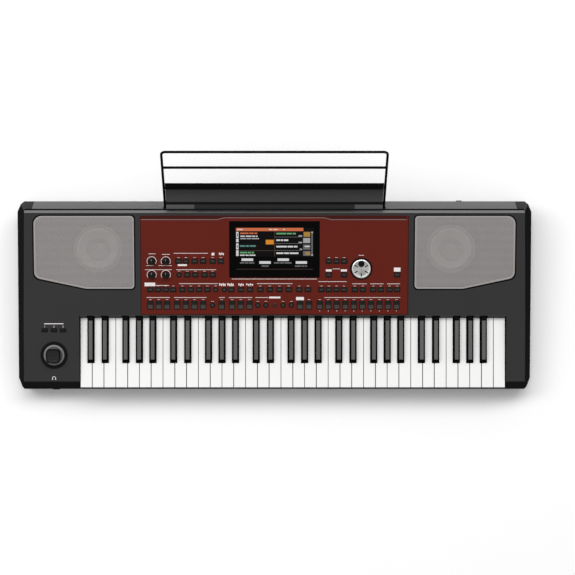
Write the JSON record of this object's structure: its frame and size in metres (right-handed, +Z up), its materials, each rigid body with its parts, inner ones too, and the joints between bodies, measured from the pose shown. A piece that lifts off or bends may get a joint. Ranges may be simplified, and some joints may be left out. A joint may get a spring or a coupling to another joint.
{
  "type": "arranger keyboard",
  "caption": "Tabletop electronic keyboard with a sloping control panel, screen, speakers under metal grilles, joystick, data dial, push buttons and a lift-off music stand.",
  "frame": {"origin": "bottom centre of the whole object, on the floor under its feet", "axes": "+X to the player's right, +Y to the rear, +Z up"},
  "size_m": [1.03, 0.4636, 0.2693],
  "materials": {
    "case_plastic": "fine-grained satin, dark grey",
    "rear_plastic": "fine-grained satin, grey",
    "panel_red": "dark red, satin",
    "screen_glass": "gloss black",
    "grille_metal": "perforated, warm grey",
    "inner_plastic": "moulded, matt black",
    "black_plastic": "matt black",
    "button_plastic": "satin charcoal",
    "stick_plastic": "satin black",
    "white_key_plastic": "gloss white",
    "black_key_plastic": "satin black",
    "dial_aluminium": "turned",
    "stand_paint": "powder coated, black",
    "sheet_steel": "plated",
    "bright_steel": "bright",
    "magnet_iron": "ferrite and steel",
    "cone_paper": "grey paper pulp",
    "felt": "red felt",
    "circuit_board": "green lacquer",
    "contact_rubber": "silicone",
    "foot_rubber": "matt black"
  },
  "bodies": {
    "case": {"bottom_case": "case_plastic", "top_case": "case_plastic", "rear_panel": "rear_plastic", "control_panel": "panel_red", "display_glass": "screen_glass", "display_module": "sheet_steel", "speaker_grilles": "grille_metal", "speaker_boxes": "inner_plastic", "speaker_baskets": "sheet_steel", "speaker_magnets": "magnet_iron", "speaker_cones": "cone_paper", "keybed_frame": "inner_plastic", "key_pivot_rod": "bright_steel", "key_spring_comb": "bright_steel", "key_felts": "felt", "contact_board": "circuit_board", "contact_strip": "contact_rubber", "panel_board": "circuit_board", "push_switches": "black_plastic", "control_pots": "black_plastic", "main_board": "circuit_board", "power_supply": "circuit_board", "phone_jacks": "black_plastic", "data_sockets": "sheet_steel", "mains_inlet": "black_plastic", "stand_sockets": "black_plastic", "joystick_housing": "black_plastic", "rubber_feet": "foot_rubber", "case_screws": "bright_steel"},
    "keys_c": {"keys_c": "white_key_plastic"},
    "keys_c_sharp": {"keys_c_sharp": "black_key_plastic"},
    "keys_d": {"keys_d": "white_key_plastic"},
    "keys_d_sharp": {"keys_d_sharp": "black_key_plastic"},
    "keys_e": {"keys_e": "white_key_plastic"},
    "keys_f": {"keys_f": "white_key_plastic"},
    "keys_f_sharp": {"keys_f_sharp": "black_key_plastic"},
    "keys_g": {"keys_g": "white_key_plastic"},
    "keys_g_sharp": {"keys_g_sharp": "black_key_plastic"},
    "keys_a": {"keys_a": "white_key_plastic"},
    "keys_a_sharp": {"keys_a_sharp": "black_key_plastic"},
    "keys_b": {"keys_b": "white_key_plastic"},
    "mode_buttons": {"mode_buttons": "button_plastic"},
    "page_buttons": {"page_buttons": "button_plastic"},
    "track_buttons": {"track_buttons": "button_plastic"},
    "screen_buttons": {"screen_buttons": "button_plastic"},
    "sound_buttons": {"sound_buttons": "button_plastic"},
    "style_buttons": {"style_buttons": "button_plastic"},
    "tempo_buttons": {"tempo_buttons": "button_plastic"},
    "registration_buttons": {"registration_buttons": "button_plastic"},
    "knob_rear_left": {"knob_rear_left": "black_plastic"},
    "knob_rear_right": {"knob_rear_right": "black_plastic"},
    "knob_front_left": {"knob_front_left": "black_plastic"},
    "knob_front_right": {"knob_front_right": "black_plastic"},
    "value_dial": {"value_dial": "dial_aluminium"},
    "assign_switches": {"assign_switches": "button_plastic"},
    "power_button": {"power_button": "black_plastic"},
    "joystick_gimbal": {"joystick_gimbal": "inner_plastic"},
    "joystick_lever": {"joystick_lever": "stick_plastic"},
    "music_stand": {"stand_frame": "stand_paint", "stand_plate": "stand_paint"}
  },
  "joints": [
    {"name": "press_c", "type": "hinge", "parent": "case", "child": "keys_c", "pos_m": [0, -0.01675, 0.072], "axis": [1, 0, 0], "range_deg": [0, 2.7], "stiffness_Nm_per_rad": 1.6, "springref_deg": -20.05},
    {"name": "press_c_sharp", "type": "hinge", "parent": "case", "child": "keys_c_sharp", "pos_m": [0, -0.01675, 0.072], "axis": [1, 0, 0], "range_deg": [0, 2.7], "stiffness_Nm_per_rad": 1.6, "springref_deg": -20.05},
    {"name": "press_d", "type": "hinge", "parent": "case", "child": "keys_d", "pos_m": [0, -0.01675, 0.072], "axis": [1, 0, 0], "range_deg": [0, 2.7], "stiffness_Nm_per_rad": 1.6, "springref_deg": -20.05},
    {"name": "press_d_sharp", "type": "hinge", "parent": "case", "child": "keys_d_sharp", "pos_m": [0, -0.01675, 0.072], "axis": [1, 0, 0], "range_deg": [0, 2.7], "stiffness_Nm_per_rad": 1.6, "springref_deg": -20.05},
    {"name": "press_e", "type": "hinge", "parent": "case", "child": "keys_e", "pos_m": [0, -0.01675, 0.072], "axis": [1, 0, 0], "range_deg": [0, 2.7], "stiffness_Nm_per_rad": 1.6, "springref_deg": -20.05},
    {"name": "press_f", "type": "hinge", "parent": "case", "child": "keys_f", "pos_m": [0, -0.01675, 0.072], "axis": [1, 0, 0], "range_deg": [0, 2.7], "stiffness_Nm_per_rad": 1.6, "springref_deg": -20.05},
    {"name": "press_f_sharp", "type": "hinge", "parent": "case", "child": "keys_f_sharp", "pos_m": [0, -0.01675, 0.072], "axis": [1, 0, 0], "range_deg": [0, 2.7], "stiffness_Nm_per_rad": 1.6, "springref_deg": -20.05},
    {"name": "press_g", "type": "hinge", "parent": "case", "child": "keys_g", "pos_m": [0, -0.01675, 0.072], "axis": [1, 0, 0], "range_deg": [0, 2.7], "stiffness_Nm_per_rad": 1.6, "springref_deg": -20.05},
    {"name": "press_g_sharp", "type": "hinge", "parent": "case", "child": "keys_g_sharp", "pos_m": [0, -0.01675, 0.072], "axis": [1, 0, 0], "range_deg": [0, 2.7], "stiffness_Nm_per_rad": 1.6, "springref_deg": -20.05},
    {"name": "press_a", "type": "hinge", "parent": "case", "child": "keys_a", "pos_m": [0, -0.01675, 0.072], "axis": [1, 0, 0], "range_deg": [0, 2.7], "stiffness_Nm_per_rad": 1.6, "springref_deg": -20.05},
    {"name": "press_a_sharp", "type": "hinge", "parent": "case", "child": "keys_a_sharp", "pos_m": [0, -0.01675, 0.072], "axis": [1, 0, 0], "range_deg": [0, 2.7], "stiffness_Nm_per_rad": 1.6, "springref_deg": -20.05},
    {"name": "press_b", "type": "hinge", "parent": "case", "child": "keys_b", "pos_m": [0, -0.01675, 0.072], "axis": [1, 0, 0], "range_deg": [0, 2.7], "stiffness_Nm_per_rad": 1.6, "springref_deg": -20.05},
    {"name": "push_mode_buttons", "type": "slide", "parent": "case", "child": "mode_buttons", "axis": [0, 0.1392, -0.9903], "range_m": [0, 0.0006], "stiffness_N_per_m": 1500, "springref_m": -0.0006},
    {"name": "push_page_buttons", "type": "slide", "parent": "case", "child": "page_buttons", "axis": [0, 0.1392, -0.9903], "range_m": [0, 0.0006], "stiffness_N_per_m": 1500, "springref_m": -0.0006},
    {"name": "push_track_buttons", "type": "slide", "parent": "case", "child": "track_buttons", "axis": [0, 0.1392, -0.9903], "range_m": [0, 0.0006], "stiffness_N_per_m": 1500, "springref_m": -0.0006},
    {"name": "push_screen_buttons", "type": "slide", "parent": "case", "child": "screen_buttons", "axis": [0, 0.1392, -0.9903], "range_m": [0, 0.0006], "stiffness_N_per_m": 1500, "springref_m": -0.0006},
    {"name": "push_sound_buttons", "type": "slide", "parent": "case", "child": "sound_buttons", "axis": [0, 0.1392, -0.9903], "range_m": [0, 0.0006], "stiffness_N_per_m": 1500, "springref_m": -0.0006},
    {"name": "push_style_buttons", "type": "slide", "parent": "case", "child": "style_buttons", "axis": [0, 0.1392, -0.9903], "range_m": [0, 0.0006], "stiffness_N_per_m": 1500, "springref_m": -0.0006},
    {"name": "push_tempo_buttons", "type": "slide", "parent": "case", "child": "tempo_buttons", "axis": [0, 0.1392, -0.9903], "range_m": [0, 0.0006], "stiffness_N_per_m": 1500, "springref_m": -0.0006},
    {"name": "push_registration_buttons", "type": "slide", "parent": "case", "child": "registration_buttons", "axis": [0, 0.1392, -0.9903], "range_m": [0, 0.0006], "stiffness_N_per_m": 1500, "springref_m": -0.0006},
    {"name": "push_assign_switches", "type": "slide", "parent": "case", "child": "assign_switches", "axis": [0, 0.0912, -0.9958], "range_m": [0, 0.0006], "stiffness_N_per_m": 1000, "springref_m": -0.0006},
    {"name": "push_power_button", "type": "slide", "parent": "case", "child": "power_button", "axis": [0, -1, 0], "range_m": [0, 0.002], "stiffness_N_per_m": 800, "springref_m": -0.001},
    {"name": "turn_knob_rear_left", "type": "hinge", "parent": "case", "child": "knob_rear_left", "pos_m": [-0.2429, 0.02319, 0.11317], "axis": [0, -0.1392, 0.9903], "range_deg": [-150, 150]},
    {"name": "turn_knob_rear_right", "type": "hinge", "parent": "case", "child": "knob_rear_right", "pos_m": [-0.21497, 0.02319, 0.11317], "axis": [0, -0.1392, 0.9903], "range_deg": [-150, 150]},
    {"name": "turn_knob_front_left", "type": "hinge", "parent": "case", "child": "knob_front_left", "pos_m": [-0.2429, -0.00365, 0.1094], "axis": [0, -0.1392, 0.9903], "range_deg": [-150, 150]},
    {"name": "turn_knob_front_right", "type": "hinge", "parent": "case", "child": "knob_front_right", "pos_m": [-0.21497, -0.00365, 0.1094], "axis": [0, -0.1392, 0.9903], "range_deg": [-150, 150]},
    {"name": "turn_value_dial", "type": "hinge", "parent": "case", "child": "value_dial", "pos_m": [0.17156, 0.00883, 0.11115], "axis": [0, -0.1392, 0.9903], "continuous": true},
    {"name": "stick_forward", "type": "hinge", "parent": "case", "child": "joystick_gimbal", "pos_m": [-0.438, -0.16226, 0.08086], "axis": [1, 0, 0], "range_deg": [-18, 18], "stiffness_Nm_per_rad": 0.12},
    {"name": "stick_sideways", "type": "hinge", "parent": "joystick_gimbal", "child": "joystick_lever", "pos_m": [-0.438, -0.16226, 0.08086], "axis": [0, 0.9958, 0.0912], "range_deg": [-18, 18], "stiffness_Nm_per_rad": 0.12},
    {"name": "stand_lift", "type": "slide", "parent": "case", "child": "music_stand", "axis": [0, 0.5446, 0.8387], "range_m": [0, 0.045]}
  ]
}
